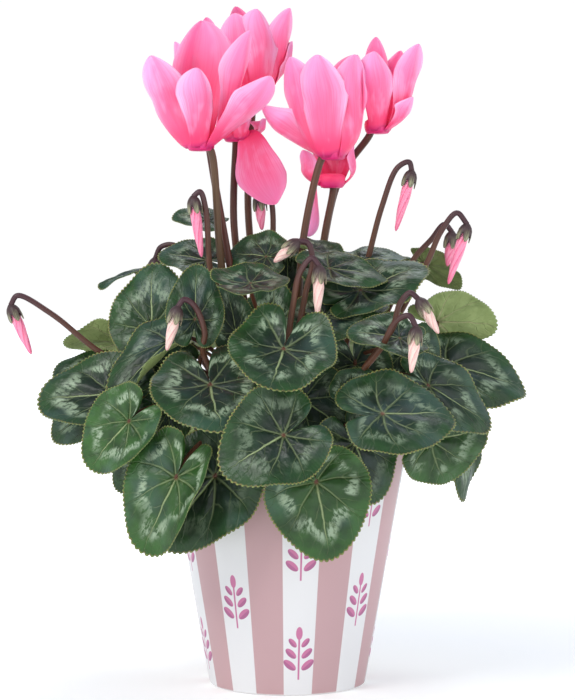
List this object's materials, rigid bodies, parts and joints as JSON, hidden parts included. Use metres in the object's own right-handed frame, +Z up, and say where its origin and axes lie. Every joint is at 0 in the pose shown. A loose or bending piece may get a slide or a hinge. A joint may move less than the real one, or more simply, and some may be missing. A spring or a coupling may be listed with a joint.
{
  "type": "potted cyclamen",
  "caption": "Flowering cyclamen with swept-back petals, drooping buds and silver-marked heart-shaped leaves, in a tapered striped decorative pot.",
  "frame": {"origin": "middle of the decorative pot's flat base", "axes": "+Z up through the pot's middle, -Y towards the side that the picture shows"},
  "size_m": [0.2658, 0.2357, 0.357],
  "materials": {
    "pot_print": "matte printed stripes",
    "nursery_plastic": "matte",
    "potting_soil": "rough and crumbly",
    "stalk": "satin",
    "leaf": "glossy, with silver marking",
    "petal": "soft satin",
    "pale_bud": "soft satin",
    "pink_bud": "soft satin"
  },
  "bodies": {
    "root": {"pot_cover": "pot_print", "nursery_pot": "nursery_plastic", "corm_with_stems": "stalk", "front_leaf_1": "leaf", "front_leaf_2": "leaf", "front_leaf_3": "leaf", "front_leaf_4": "leaf", "front_leaf_5": "leaf", "front_leaf_6": "leaf", "front_leaf_7": "leaf", "front_leaf_8": "leaf", "front_leaf_9": "leaf", "left_leaf_1": "leaf", "left_leaf_2": "leaf", "left_leaf_3": "leaf", "left_leaf_4": "leaf", "left_leaf_5": "leaf", "left_leaf_6": "leaf", "left_leaf_7": "leaf", "left_leaf_8": "leaf", "left_leaf_9": "leaf", "top_leaf_1": "leaf", "top_leaf_2": "leaf", "top_leaf_3": "leaf", "top_leaf_4": "leaf", "top_leaf_5": "leaf", "top_leaf_6": "leaf", "top_leaf_7": "leaf", "top_leaf_8": "leaf", "right_leaf_1": "leaf", "right_leaf_2": "leaf", "right_leaf_3": "leaf", "right_leaf_4": "leaf", "right_leaf_5": "leaf", "inner_leaf_1": "leaf", "leaf_spray_1": "leaf", "leaf_spray_2": "leaf", "leaf_spray_3": "leaf", "leaf_spray_4": "leaf", "leaf_spray_5": "leaf", "bloom_1": "petal", "bloom_2": "petal", "bloom_3": "petal", "bloom_4": "petal", "bloom_5": "petal", "bloom_6": "petal", "bloom_7": "petal", "bud_1": "pink_bud", "bud_2": "pale_bud", "bud_3": "pink_bud", "bud_4": "pink_bud", "bud_5": "pale_bud", "bud_6": "pale_bud", "bud_7": "pink_bud", "bud_8": "pink_bud", "bud_9": "pink_bud", "bud_10": "pale_bud", "bud_11": "pale_bud", "bud_12": "pink_bud", "soil": "potting_soil"}
  },
  "joints": []
}
